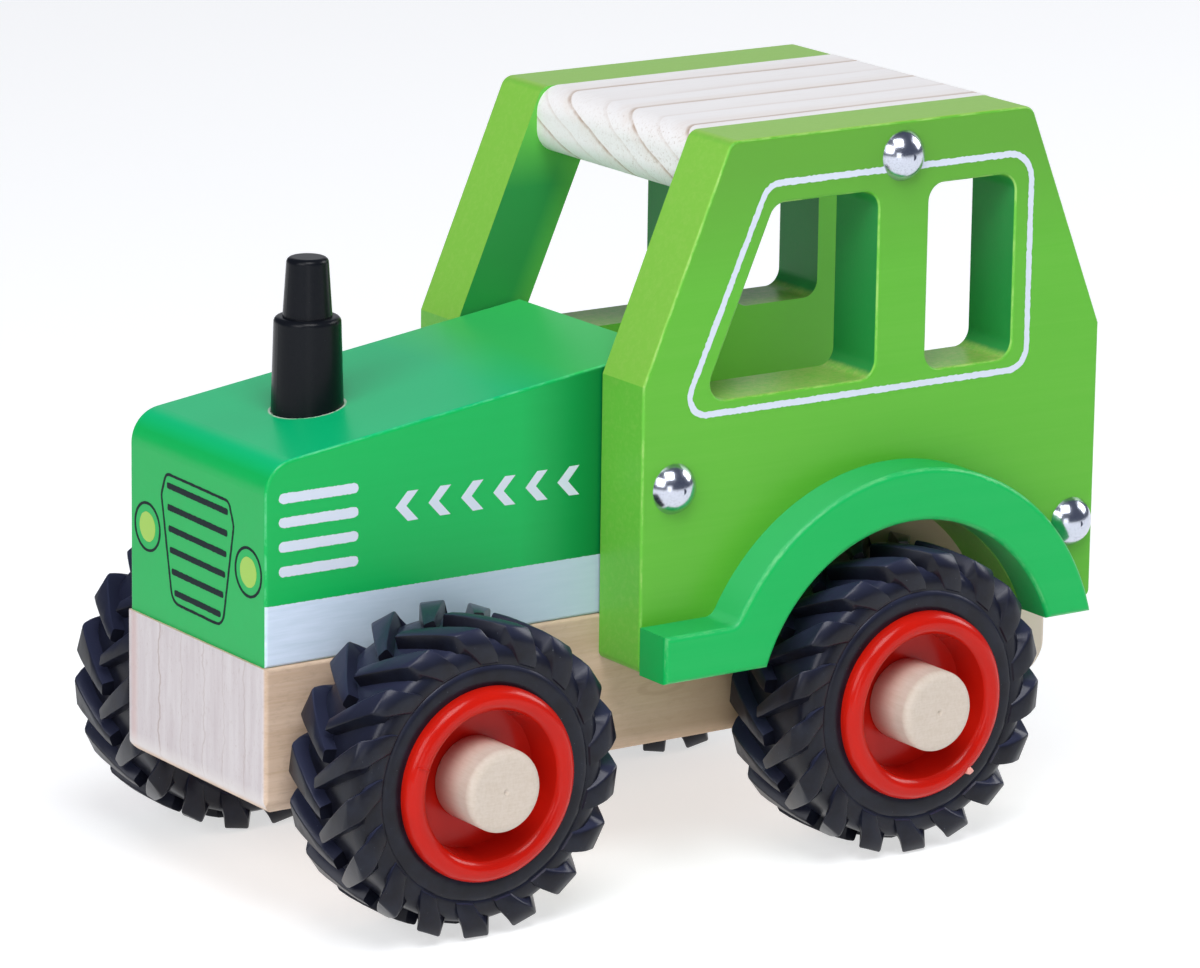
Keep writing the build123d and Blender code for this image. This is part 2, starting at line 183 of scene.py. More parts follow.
def beech_side(p, early, late, ripple_share):
    """Tone and relief of the long grain, which runs along X; the tone also darkens rearwards and pales
    towards the tail.
    """
    broad = p.noise((0.006, 0.25, 0.25), 2.0, 0.5, 0.6)
    fibre = p.noise((0.07, 2.4, 2.4), 3.0, 0.6, 0.2)
    ripple = p.noise((0.5, 0.16, 1.5), 3.0, 0.6, 0.5)
    figure = p.total(p.product(broad, 0.6), p.product(fibre, 0.4))
    tone = p.mix(p.ramp(figure, 0.36, 0.64), early, late)
    tone = p.mix(p.ramp(ripple, 0.50, 0.72, 0, ripple_share), tone, shade(late, 0.62))

    along, up = p.total(p.mm("X"), -BEECH_EYE[0]), p.total(p.mm("Z"), -BEECH_EYE[1])
    away = p.distance(p.product(along, EYE_STRETCH), up)
    rings = p.ramp(p.math("SINE", p.product(p.total(away, p.product(broad, 2.0)), 3.4)), 0.2, 0.9)
    eye = p.product(rings, p.ramp(away, EYE_REACH, 1.2, 0, 0.35))
    tone = p.mix(eye, tone, shade(late, 0.6))

    # darker rearwards along the sides, and paler towards the tail
    tone = p.mix(p.ramp(p.mm("X"), *DARKER_REARWARDS, 0, 0.75), tone, (0.44, 0.30, 0.18))
    tone = p.mix(p.ramp(p.mm("X"), *PALER_TAIL, 0, 0.85), tone, (0.82, 0.72, 0.61))
    return tone, p.total(p.product(fibre, 0.7), ripple)


def beech_end(p, light, dark):
    """Tone of the end grain: upright streaks, wandering lines and pores."""
    across = p.mm("Y")
    wander = p.noise((0.05, 0.05, 0.22), 3.0, 0.6)
    streak = p.noise((0.05, 0.55, 0.05), 3.0, 0.6, 0.4)
    speck = p.noise((1.0, 2.6, 0.9), 4.0, 0.7)
    tone = p.mix(p.ramp(streak, 0.34, 0.70), light, dark)
    tone = p.mix(p.product(seam(p, across, *ROSY_SEAM, 1.5, wander), 0.45), tone, (0.62, 0.40, 0.36))
    for place, half_width, share in END_SEAMS:
        line = p.product(seam(p, across, place, half_width, 3.0, wander), share)
        tone = p.mix(line, tone, (0.36, 0.25, 0.22))
    tone = p.mix(p.ramp(speck, 0.56, 0.74, 0, 0.42), tone, (0.40, 0.30, 0.27))
    return p.mix(p.ramp(p.mm("Z"), *END_FOOT, 0, 0.6), tone, (0.78, 0.74, 0.72))


def beech(name, early, late, end_light, end_dark, ripple_share):
    """Planed beech: end grain on the faces that look along X, long grain on the others."""
    p = Paint(name, roughness=0.6, specular=0.25)
    side, relief = beech_side(p, early, late, ripple_share)
    end = beech_end(p, end_light, end_dark)
    p.set("Base Color", p.mix(p.ramp(p.absolute(p.axis(p.normal, "X")), 0.72, 0.92), side, end))
    p.bump(relief, 0.05, 0.4)
    return p


dress(beech("bare_beech", early=(0.70, 0.54, 0.42), late=(0.58, 0.42, 0.30),
            end_light=(0.68, 0.635, 0.64), end_dark=(0.60, 0.54, 0.55), ripple_share=0.25), "chassis")
# seat block: pale beech, lightened further as painted light where it shows through the arch in shade
dress(beech("pale_beech_painted_light", early=(0.92, 0.80, 0.62), late=(0.84, 0.70, 0.52),
            end_light=(0.70, 0.60, 0.50), end_dark=(0.62, 0.51, 0.41), ripple_share=0.12), "seat_block")


# ---------------------------------------------------------------- pine
RING_MM = 4.2               # distance between growth lines
RING_SLOPE = (0.48, 0.88)   # how fast the rings pass along Y and Z


def pine(name):
    """Sawn softwood along X: growth rings that lean over, each fading in and ending in a thin dark line."""
    p = Paint(name, roughness=0.55, specular=0.25)
    slow = p.noise((0.008, 0.05, 0.05), 2.0, 0.5)
    field = p.total(p.product(p.mm("Y"), RING_SLOPE[0] / RING_MM),
                    p.product(p.mm("Z"), RING_SLOPE[1] / RING_MM), p.product(slow, 0.9))
    ring = p.math("FRACT", field)
    broken = p.ramp(p.noise((0.02, 0.5, 0.5), 3.0, 0.6), 0.30, 0.62, 0.25, 1.0)
    # every second ring is weak
    strong = p.ramp(p.math("FRACT", p.product(field, 0.5)), 0.499, 0.501, 0.28, 1.0)
    soft_band = p.product(p.ramp(ring, 0.30, 0.93, 0.0, 0.30), broken, strong)
    thin_line = p.product(p.ramp(ring, 0.82, 0.955), p.ramp(ring, 1.0, 0.965), strong)
    tone = p.mix(soft_band, (0.90, 0.88, 0.87), (0.68, 0.52, 0.40))
    tone = p.mix(p.product(thin_line, p.product(broken, 0.8)), tone, (0.36, 0.21, 0.12))

    fibre = p.noise((0.10, 2.6, 2.6), 3.0, 0.6, 0.2)
    tone = p.mix(p.ramp(fibre, 0.50, 0.75, 0, 0.22), tone, (0.66, 0.58, 0.52))

    # pores on the round front edge, more of them towards the driver's left
    pores = p.ramp(p.noise((1.4, 1.9, 1.9), 4.0, 0.7), 0.54, 0.70)
    pores = p.product(pores, p.ramp(p.axis(p.normal, "X"), 0.35, 0.8))
    tone = p.mix(p.product(pores, p.ramp(p.mm("Y"), -14.0, 12.0, 0.15, 0.55)), tone, (0.42, 0.32, 0.25))
    p.set("Base Color", tone)
    p.bump(p.total(fibre, p.product(ring, 0.3)), 0.05, 0.4)
    return p


dress(pine("bare_pine"), "roof_board")


# ---------------------------------------------------------------- turned wood
PEG_SUNK = (49.5, 42.5)     # red light from the rims tinges the pegs from the first |y| to the second


def turned_wood(name, light, dark):
    p = Paint(name, roughness=0.55, specular=0.3)
    fibre = p.noise((2.2, 0.12, 1.2), 3.0, 0.6, 0.3)
    fleck = p.noise((0.5, 0.5, 3.2), 3.0, 0.6, 0.2)
    pore = p.noise((3.2, 3.2, 3.2), 3.0, 0.7)
    p.tone = p.mix(p.ramp(p.total(p.product(fibre, 0.5), p.product(fleck, 0.5)), 0.40, 0.66), light, dark)
    p.tone = p.mix(p.ramp(pore, 0.62, 0.76, 0, 0.35), p.tone, shade(dark, 0.6))
    p.set("Base Color", p.tone)
    p.bump(fibre, 0.03, 0.4)
    return p


def peg_wood(name):
    p = turned_wood(name, (0.62, 0.54, 0.465), (0.56, 0.475, 0.39))
    sunk = p.ramp(p.absolute(p.mm("Y")), *PEG_SUNK, 0, 0.62)
    p.set("Base Color", p.mix(sunk, p.tone, (0.60, 0.19, 0.15)))
    return p


dress(peg_wood("peg_wood"), *named("axle_peg"))
dress(turned_wood("dowel_wood", (0.60, 0.42, 0.25), (0.48, 0.31, 0.17)),
      "bonnet_dowels", "seat_dowels", "fender_pins_left", "fender_pins_right")


# ---------------------------------------------------------------- painted wood
def painted(name, color, worn, edge_tone):
    """Satin paint over wood: the grain shows faintly through, and the sanded edges are thin and pale, partly
    worn and partly a painted highlight.
    """
    p = Paint(name, roughness=0.32, specular=0.22)
    grain = p.noise((0.02, 0.5, 0.6), 3.0, 0.6, 0.4)
    cloud = p.noise((0.03, 0.03, 0.03), 2.0, 0.5)
    p.tone = p.mix(p.ramp(grain, 0.35, 0.68, 0, 0.20), color, worn)
    p.tone = p.mix(p.ramp(cloud, 0.3, 0.7, 0, 0.10), p.tone, shade(color, 0.8))
    # pale edges: wear on the sanded fillets, with a painted highlight along them
    tilt = p.absolute(p.axis(p.normal, "Y"))
    on_edge = p.product(p.ramp(tilt, 0.25, 0.45), p.ramp(tilt, 0.93, 0.80))
    chips_and_glints = p.ramp(p.noise((0.25, 0.9, 0.25), 4.0, 0.7), 0.44, 0.62, 0.0, 0.42)
    p.rubbed = (p.product(on_edge, chips_and_glints), edge_tone)
    p.height = grain
    return p


def tint(p, share, color):
    """Lays another tone over a painted material."""
    p.tone = p.mix(share, p.tone, color)


def finish_paint(p, *nodes):
    tint(p, *p.rubbed)
    p.set("Base Color", p.tone)
    p.bump(p.height, 0.04, 0.3)
    dress(p, *nodes)


EMERALD = (0.004, 0.43, 0.090)
# painted shade: the apple paint as it looks in shade
PAINTED_SHADE_GREEN = (0.008, 0.24, 0.055)
POST_LEAN = 0.43            # the front posts lean back this much per mm of height
POST_INNER_EDGE = (47.0, 44.0)      # x + lean * z where the window cut begins behind a front post
POST_FACE = (30.0, 44.0)    # the same measure across the inner face of a front post
REAR_CUT = (-66.5, -64.5)   # x where the window cuts begin at the rear
WINDOW_HEAD = (119.5, 117.5)    # z over which the painted shade of the cuts fades in under the window heads
WINDOW_SILL = (83.5, 85.0)      # and above the sills
SILL_TOP = (92.0, 88.0)     # upward faces below the second z are sills
ROOF_EDGE = (126.0, 128.0)  # and above the second z here the cab's top
HIGH_SIDE = (104.0, 124.0)  # painted shade: the outer faces darken from the first z to the second


def apple_paint():
    """Yellow-green cab sides."""
    p = painted("apple_paint", (0.110, 0.440, 0.034), (0.16, 0.49, 0.06), (0.52, 0.70, 0.24))
    x, z = p.mm("X"), p.mm("Z")
    forward, upward = p.axis(p.normal, "X"), p.axis(p.normal, "Z")
    outward = p.product(p.axis(p.normal, "Y"), p.math("SIGN", p.mm("Y")))
    mottle = p.noise((0.9, 0.9, 0.9), 4.0, 0.75, 0.5)
    cut_edge = p.ramp(p.absolute(outward), 0.45, 0.20)

    # painted light and shade by the way that faces look: a painted sheen on the top, lighter ahead, along
    # the slanted front edge and inwards, and darker high on the outer faces
    tint(p, p.ramp(forward, 0.35, 0.8), (0.150, 0.54, 0.055))
    tint(p, p.product(p.ramp(forward, 0.5, 0.8), p.ramp(upward, 0.15, 0.3)), (0.225, 0.545, 0.064))
    tint(p, p.product(p.ramp(upward, 0.7, 0.95), p.ramp(z, *ROOF_EDGE)), (0.27, 0.55, 0.07))
    tint(p, p.ramp(outward, -0.6, -0.9), (0.20, 0.68, 0.075))
    tint(p, p.product(p.ramp(outward, 0.85, 0.95), p.ramp(z, *HIGH_SIDE)), (0.110, 0.355, 0.034))
    tint(p, p.product(cut_edge, p.ramp(mottle, 0.46, 0.66, 0, 0.22)), (0.36, 0.60, 0.13))

    # painted shade: the window cuts that face along the toy, and the inner faces beside the windscreen, turn
    # deep emerald as the apple paint looks in shade
    post_line = p.total(x, p.product(z, POST_LEAN))
    in_window = p.product(p.ramp(post_line, *POST_INNER_EDGE), p.ramp(x, *REAR_CUT),
                          p.product(cut_edge, p.ramp(p.absolute(forward), 0.45, 0.75)),
                          p.product(p.ramp(z, *WINDOW_HEAD), p.ramp(z, *WINDOW_SILL)))
    inner_post = p.product(p.ramp(outward, -0.5, -0.8), p.ramp(post_line, *POST_FACE),
                           p.ramp(z, 124.0, 112.0, 0.35, 1.0))
    tint(p, p.product(p.math("MAXIMUM", in_window, inner_post), 0.92), PAINTED_SHADE_GREEN)

    # the sills are thinly painted and blotchy
    sill = p.product(p.ramp(upward, 0.6, 0.9), p.ramp(z, *SILL_TOP))
    tint(p, p.product(sill, p.ramp(mottle, 0.40, 0.62, 0.25, 0.8)), (0.34, 0.46, 0.12))
    p.height = p.total(p.height, p.product(cut_edge, mottle, 1.6))
    return p


def fender_paint():
    """Emerald fenders, with a painted sheen that makes the front of the crown a little paler."""
    p = painted("emerald_paint", EMERALD, (0.02, 0.46, 0.11), (0.20, 0.62, 0.25))
    crown = p.product(p.ramp(p.axis(p.normal, "Z"), 0.2, 0.6), p.ramp(p.axis(p.normal, "X"), -0.2, 0.4))
    # painted sheen on the faces that look up and ahead
    tint(p, crown, (0.045, 0.46, 0.145))
    return p


TOP_CHANGE = (34.0, 20.0)   # painted sheen: the bonnet's top goes from its front tone to its rear one between these x
CAB_SHADE = (32.0, 13.0)    # its sides darken towards the cab between these x
BAND_TOP = 56.7             # top of the pale band on the bonnet's sides
BAND_RAGGED = 0.34          # unevenness of that edge
BAND_PAINTED_LIGHT = (50.0, 78.0)    # painted light: the band goes from its rear tone to its brighter front one between these x
PRINT_EDGE = 0.35           # the band's print reaches this far round the edge
BARE_RIM = (6.85, 6.6)      # radii of the bare rim of the hole round the exhaust's foot


def bonnet_paint():
    """Emerald bonnet with a pale printed band along the foot of its sides."""
    p = painted("bonnet_paint", EMERALD, (0.010, 0.46, 0.11), (0.22, 0.66, 0.38))
    x, y = p.mm("X"), p.mm("Y")
    # painted sheen on the faces that look up, changing towards the cab
    top_tone = p.mix(p.ramp(x, *TOP_CHANGE), (0.003, 0.525, 0.190), (0.040, 0.53, 0.120))
    tint(p, p.ramp(p.axis(p.normal, "Z"), 0.5, 0.9), top_tone)
    side = p.ramp(p.absolute(p.axis(p.normal, "Y")), 0.7, 0.95)
    tint(p, p.product(p.ramp(x, *CAB_SHADE), side), (0.002, 0.155, 0.031))

    ragged_z = p.total(p.mm("Z"), p.product(p.noise((1.2, 1.2, 1.2), 2.0, 0.6), BAND_RAGGED))
    below = p.math("LESS_THAN", ragged_z, BAND_TOP + BAND_RAGGED / 2)
    on_side = p.math("GREATER_THAN", p.absolute(y), far_edge("bonnet", "y") - PRINT_EDGE)
    weave = p.ramp(p.noise((0.10, 0.4, 1.1), 3.0, 0.6), 0.35, 0.70)
    # painted light on the band's front
    band_tone = p.mix(p.ramp(x, *BAND_PAINTED_LIGHT), (0.50, 0.62, 0.72), (0.68, 0.78, 0.93))
    band_tone = p.mix(p.product(weave, 0.35), band_tone, (0.42, 0.56, 0.66))
    tint(p, p.product(below, on_side), band_tone)

    from_stack = p.distance(p.total(x, -middle_of("exhaust_stack").x), y)
    patchy = p.ramp(p.noise((0.5, 0.5, 0.5), 3.0, 0.6), 0.35, 0.55, 0.2, 0.9)
    tint(p, p.product(p.ramp(from_stack, *BARE_RIM), patchy), (0.62, 0.66, 0.56))
    return p


finish_paint(apple_paint(), "cab_side_left", "cab_side_right")
finish_paint(fender_paint(), "fender_left", "fender_right")
finish_paint(bonnet_paint(), "bonnet")


# ---------------------------------------------------------------- other finishes
def black_paint():
    """Semi-gloss black on turned wood, with grey grit in it."""
    p = Paint("black_paint", roughness=0.28, specular=0.14)
    grit = p.noise((2.6, 2.6, 2.6), 3.0, 0.7)
    p.set("Base Color", p.mix(p.ramp(grit, 0.70, 0.76, 0, 0.35), (0.006, 0.007, 0.010), (0.12, 0.14, 0.17)))
    p.bump(p.noise((0.9, 0.9, 1.6), 4.0, 0.65), 0.08, 0.45)
    return p


def polished_steel():
    p = Paint("polished_steel", roughness=0.19, metallic=1.0)
    pits = p.noise((3.4, 3.4, 3.4), 3.0, 0.7)
    p.set("Base Color", p.mix(p.ramp(pits, 0.52, 0.66, 0, 0.35), (0.60, 0.63, 0.72), (0.24, 0.26, 0.36)))
    p.bump(pits, 0.02, 0.35)
    return p


def red_plastic():
    p = Paint("red_plastic", roughness=0.20, specular=0.20)
    swirl = p.noise((0.10, 0.10, 0.10), 2.0, 0.5)
    p.set("Base Color", p.mix(swirl, (0.57, 0.011, 0.004), (0.46, 0.008, 0.004)))
    p.bump(p.noise((0.35, 0.35, 0.35), 2.0, 0.5), 0.04, 0.3)
    return p


def black_rubber():
    """Rubber with a film in places, a bluish painted sheen where it looks up, and specks of dust."""
    p = Paint("black_rubber", roughness=0.29, specular=0.24)
    dust = p.noise((2.4, 2.4, 2.4), 2.0, 0.7)
    film = p.noise((0.25, 0.25, 0.25), 3.0, 0.6)
    tone = p.mix(p.ramp(film, 0.35, 0.7), (0.006, 0.006, 0.011), (0.010, 0.012, 0.022))
    # painted sheen: bluer where the rubber looks up
    tone = p.mix(p.ramp(p.axis(p.normal, "Z"), 0.15, 0.8), tone, (0.026, 0.030, 0.062))
    p.set("Base Color", p.mix(p.ramp(dust, 0.735, 0.78, 0, 0.5), tone, (0.22, 0.25, 0.30)))
    p.bump(p.noise((1.5, 1.5, 1.5), 3.0, 0.6), 0.03, 0.35)
    return p


dress(black_paint(), "exhaust_stack")
dress(polished_steel(), "dome_nails")
red = red_plastic()
dress(red, *named("rim_"))
rubber = black_rubber()
stub_plastic = Paint("stub_plastic", (0.78, 0.36, 0.30), roughness=0.4, specular=0.4)
white_print = Paint("white_print", (0.62, 0.68, 0.78), roughness=0.45, specular=0.3)
slate_print = Paint("slate_print", (0.006, 0.016, 0.019), roughness=0.5, specular=0.1)
lime_print = Paint("lime_print", (0.36, 0.60, 0.10), roughness=0.42, specular=0.25)


# ---------------------------------------------------------------- meshes
def add_mesh(name, verts, faces, paint, body, slot_name, smooth_deg=None):
    """A closed mesh in mm in the row frame, that rides on a body."""
    mesh = bpy.data.meshes.new(name)
    mesh.from_pydata([Vector(v) * MM for v in verts], [], faces)
    shape = bmesh.new()
    shape.from_mesh(mesh)
    bmesh.ops.recalc_face_normals(shape, faces=shape.faces)
    shape.to_mesh(mesh)
    shape.free()
    if smooth_deg:
        mesh.polygons.foreach_set("use_smooth", [True] * len(mesh.polygons))
        mesh.set_sharp_from_angle(angle=math.radians(smooth_deg))
    mesh.materials.append(paint.material)
    made = bpy.data.objects.new(name, mesh)
    bpy.context.scene.collection.objects.link(made)
    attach(made, body)
    return made


# ---------------------------------------------------------------- tyres
LUGS = 17
PITCH = 360 / LUGS
LUG_SLOPE = 1.2             # degrees round the tyre per mm from its middle
LUG_TIP = -0.8              # lugs start this far across the middle
LUG_WIDTH = 5.2             # degrees at the tip
LUG_SPREAD = 0.62           # degrees wider per mm
LUG_DRAFT = 0.9             # degrees wider at the root, per side
LUG_ROUND = 0.4             # rounding of the top edges
LUG_SOFT = 0.3              # the rounding's middle point, as a share of it
LUG_ROOT_R = 24.4           # lugs are rooted below this radius, inside the carcass
LUG_ROOT_SIDE = 9.6         # and within this distance from the middle
LUG_SINK = (0.6, 0.9)       # and so far below the sidewall, across and along the radius
WALL_FROM = 8               # the sidewall starts this far from the middle
TURN_STEPS = 136            # steps round the carcass
SMOOTH_DEG = 32
# groove floor, sidewall and bead from the middle outwards: distance from the middle, radius
CARCASS = [
    (0, 25.0), (3, 24.95), (6, 24.8), (8.2, 24.5), (9.1, 23.9), (9.7, 22.9), (9.95, 21.7), (9.95, 20.9),
    (9.8, 20.55), (10.0, 20.35), (10.2, 19.7), (10.22, 18.8), (10.15, 17.9), (9.95, 17.1), (9.7, 16.6),
    (9.5, 16.15),
]
# top of a lug from its tip outwards: distance from the middle, radius, width factor, extra turn in degrees
LUG_TOP = [
    (LUG_TIP, 27.4, 0.9, 0), (0.6, 27.5, 1, 0), (3.0, 27.5, 1, 0), (5.5, 27.45, 1, 0), (7.6, 27.4, 1, 0),
    (9.2, 27.25, 1, 0), (9.5, 27.0, 1, 0.1), (10.25, 25.6, 1, 0.6), (10.48, 24.7, 1, 1.4),
    (10.5, 23.6, 0.98, 3.2), (10.42, 22.4, 0.95, 5.4), (10.2, 21.1, 0.86, 7.6),
]
# where the first lug of each tyre stands, in degrees
PHASES = {"front_left": 2.0, "rear_left": 19.8, "front_right": 9.6, "rear_right": 11.0}


def lug_root(distance, radius):
    """Root of a lug under a point of its top: inside the carcass."""
    if distance < WALL_FROM:
        return distance, LUG_ROOT_R
    return min(distance, LUG_ROOT_SIDE) - LUG_SINK[0], min(radius, LUG_ROOT_R) - LUG_SINK[1]


def lug_ring(angle, distance, radius, factor, extra):
    """Eight points across a lug at one station: degrees round the tyre, distance from the middle, radius."""
    width = (LUG_WIDTH + LUG_SPREAD * max(distance, 0)) * factor
    low = angle + LUG_SLOPE * distance + extra + 0.5 * (1 - factor) * width
    high = low + width
    turn = math.degrees(LUG_ROUND / radius)
    root = Vector(lug_root(distance, radius))
    rise = Vector((distance, radius)) - root
    near = root + rise * (1 - LUG_ROUND / rise.length)
    soft = root + rise * (1 - LUG_SOFT * LUG_ROUND / rise.length)
    return [(low - LUG_DRAFT, *root), (low, *near), (low + LUG_SOFT * turn, *soft),
            (low + turn, distance, radius), (high - turn, distance, radius),
            (high - LUG_SOFT * turn, *soft), (high, *near), (high + LUG_DRAFT, *root)]


def add_lug(verts, faces, spot, angle, half):
    """One closed lug from its tip to the sidewall, on one half of the tyre."""
    start = len(verts)
    for station in LUG_TOP:
        ring = lug_ring(angle, *station)
        verts += [spot(math.radians(degrees), half * across, radius) for degrees, across, radius in ring]
    count, rows = len(ring), len(LUG_TOP)
    for i in range(rows - 1):
        for j in range(count):
            a, b = start + i * count + j, start + i * count + (j + 1) % count
            faces.append((a, b, b + count, a + count))
    faces.append(tuple(start + j for j in range(count)))
    faces.append(tuple(start + (rows - 1) * count + j for j in reversed(range(count))))


def add_carcass(verts, faces, spot):
    """The closed ring under the lugs."""
    profile = CARCASS + [(-across, radius) for across, radius in reversed(CARCASS)][:-1]
    rows = len(profile)
    for i in range(TURN_STEPS):
        verts += [spot(2 * math.pi * i / TURN_STEPS, across, radius) for across, radius in profile]
        step = rows if i < TURN_STEPS - 1 else rows - TURN_STEPS * rows
        for j in range(rows):
            a, b = i * rows + j, i * rows + (j + 1) % rows
            faces.append((a, b, b + step, a + step))


def make_tyre(name, body, phase):
    """A moulded tyre that takes the CAD tyre's place."""
    centre = middle_of(name)

    def spot(angle, across, radius):
        return (centre.x + radius * math.cos(angle), centre.y + across, centre.z + radius * math.sin(angle))

    verts, faces = [], []
    add_carcass(verts, faces, spot)
    for half, offset in ((1, 0), (-1, PITCH / 2)):
        for k in range(LUGS):
            add_lug(verts, faces, spot, phase + offset + k * PITCH, half)
    tyre = add_mesh(f"{name}_moulded", verts, faces, rubber, body, "black_rubber", SMOOTH_DEG)
    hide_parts(name)


for wheel, phase in PHASES.items():
    make_tyre(f"tyre_{wheel}", f"wheel_{wheel}", phase)


# ---------------------------------------------------------------- moulding marks
MARK_POINTS = 8
MARK_RINGS = [(1.0, -0.7), (0.9, -0.05), (0.55, 0.12)]      # share of the size, height over the lip
MARK_WAVE = 0.18            # unevenness of the outline, as a share


def gate_mark(name, wheel, angle_deg, radius, length, width, paint):
    """A small uneven stub of moulding waste on a rim's lip; it goes down into the lip."""
    rim = f"rim_{wheel}"
    centre = middle_of(rim)
    angle = math.radians(angle_deg)
    along = Vector((-math.sin(angle), 0, math.cos(angle)))
    outwards = Vector((math.cos(angle), 0, math.sin(angle)))
    foot = Vector((centre.x, far_edge(rim, "y"), centre.z)) + outwards * radius
    verts, faces = [], []
    for share, height in MARK_RINGS:
        for k in range(MARK_POINTS):
            turn = 2 * math.pi * k / MARK_POINTS
            reach = share * (1 + MARK_WAVE * math.sin(3 * turn + share)) / 2
            spot = along * (math.cos(turn) * length * reach) + outwards * (math.sin(turn) * width * reach)
            verts.append(foot + spot + Vector((0, height, 0)))
    for ring in (0, MARK_POINTS):
        for k in range(MARK_POINTS):
            j = (k + 1) % MARK_POINTS
            faces.append((ring + k, ring + j, ring + MARK_POINTS + j, ring + MARK_POINTS + k))
    faces += [tuple(range(MARK_POINTS)), tuple(range(2 * MARK_POINTS, 3 * MARK_POINTS))]
    add_mesh(name, verts, faces, paint, f"wheel_{wheel}", "red_plastic", 50)


gate_mark("gate_stub_rear_left", "rear_left", 233, 16.5, 1.5, 1.5, stub_plastic)
gate_mark("gate_nick_front_left", "front_left", 21, 15.0, 0.5, 3.0, red)


# ---------------------------------------------------------------- printed details
PRINT_UP = 0.05             # top of the print over the surface
PRINT_DOWN = 0.05           # underside, inside the wood
SKEW_STRETCH, SKEW_SHIFT = 1.012, 0.2       # how the grille's print is off across the nose
SKEW_SLOPE, SKEW_PIVOT = 0.018, -16.6       # and how it drops from this y
RAGGED = 0.05               # unevenness of a printed edge
FINE_RAGGED = 0.04          # the same on the grille
LAMP_RAGGED = 0.03
LONG_STEP = 0.5             # distance between the points of long outlines
SHORT_STEP = 0.35           # and of bars
CIRCLE_STEP = 0.4
rough_edge = random.Random(7)


def rounded(corners, radii, step=LONG_STEP):
    """Closed outline through the corners with rounded ones, as evenly spaced points."""
    points = []
    count = len(corners)
    for i, (corner, radius) in enumerate(zip(corners, radii)):
        here = Vector(corner)
        back = (Vector(corners[i - 1]) - here).normalized()
        onwards = (Vector(corners[(i + 1) % count]) - here).normalized()
        half = back.angle(onwards) / 2
        reach = radius / math.tan(half)
        centre = here + (back + onwards).normalized() * (radius / math.sin(half))
        first, last = here + back * reach - centre, here + onwards * reach - centre
        turn = first.angle_signed(last)
        steps = max(2, int(abs(turn) * radius / step))
        for k in range(steps + 1):
            bent = first.copy()
            bent.rotate(Matrix.Rotation(-turn * k / steps, 2))
            points.append(centre + bent)
    dense = []
    for a, b in zip(points, points[1:] + points[:1]):
        cuts = max(1, int((b - a).length / step))
        dense += [a.lerp(b, k / cuts) for k in range(cuts)]
    return dense


def circle(x, y, radius):
    count = max(16, int(2 * math.pi * radius / CIRCLE_STEP))
    turns = [2 * math.pi * i / count for i in range(count)]
    return [Vector((x + radius * math.cos(turn), y + radius * math.sin(turn))) for turn in turns]


def box_corners(x0, x1, y, thick):
    half = thick / 2
    return [(x0, y - half), (x1, y - half), (x1, y + half), (x0, y + half)]


def shaken(point, amount):
    return Vector(point) + Vector((rough_edge.uniform(-amount, amount), rough_edge.uniform(-amount, amount)))


class Print:
    """Thin printed shapes on one flat face, collected into one mesh."""

    def __init__(self, name, to_space, paint, slot_name):
        self.name, self.to_space, self.paint, self.slot = name, to_space, paint, slot_name
        self.verts, self.faces = [], []

    def layer(self, points, height):
        start = len(self.verts)
        self.verts += [self.to_space(p[0], p[1], height) for p in points]
        return start

    def fill(self, outline, ragged=RAGGED):
        outline = [shaken(p, ragged) for p in outline]
        n = len(outline)
        top, base = self.layer(outline, PRINT_UP), self.layer(outline, -PRINT_DOWN)
        self.faces.append(tuple(top + i for i in range(n)))
        self.faces.append(tuple(base + i for i in reversed(range(n))))
        for i in range(n):
            j = (i + 1) % n
            self.faces.append((top + i, base + i, base + j, top + j))

    def line(self, path, width, ragged):
        """A closed line of even width along a closed path."""
        n = len(path)
        inner, outer = [], []
        for i, p in enumerate(path):
            along = (path[(i + 1) % n] - path[i - 1]).normalized()
            side = Vector((-along.y, along.x)) * width / 2
            inner.append(shaken(p + side, ragged))
            outer.append(shaken(p - side, ragged))
        rings = [self.layer(inner, PRINT_UP), self.layer(outer, PRINT_UP),
                 self.layer(outer, -PRINT_DOWN), self.layer(inner, -PRINT_DOWN)]
        for i in range(n):
            j = (i + 1) % n
            for a, b in zip(rings, rings[1:] + rings[:1]):
                self.faces.append((a + i, b + i, b + j, a + j))

    def finish(self):
        add_mesh(self.name, self.verts, self.faces, self.paint, "body", self.slot)


NOSE_X = far_edge("bonnet", "x")


def on_nose(across, up, height):
    return (NOSE_X + height, across, up)


def beside(node, side):
    """Places points on the outer face of a node: along X, up, and height over the face."""
    face = far_edge(node, "y")
    return lambda along, up, height: (along, side * (face + height), up)


def skewed(points):
    """The photographed print sits a little low towards the driver's left."""
    return [(SKEW_STRETCH * y + SKEW_SHIFT, z - SKEW_SLOPE * (y - SKEW_PIVOT)) for y, z in points]


# grille and lamps, on the bonnet's front face: across, up
OUTLINE = 0.5               # width of the drawn outlines
GRILLE = [(-10.3, 73.0), (10.3, 73.0), (11.9, 69.0), (8.3, 50.6), (-8.3, 50.6), (-11.9, 69.0)]
GRILLE_RADII = [1.6, 1.6, 2.2, 2.6, 2.6, 2.2]
# height and half length
GRILLE_BARS = [(71.0, 10.0), (67.2, 9.8), (63.5, 9.5), (59.8, 9.1), (56.1, 8.5), (52.5, 7.6)]
BAR_THICK, BAR_ROUND = 1.1, 0.3
LAMPS = [(17.0, 61.6), (-16.6, 62.0)]
LAMP_RING_R, LAMP_R = 4.2, 2.65

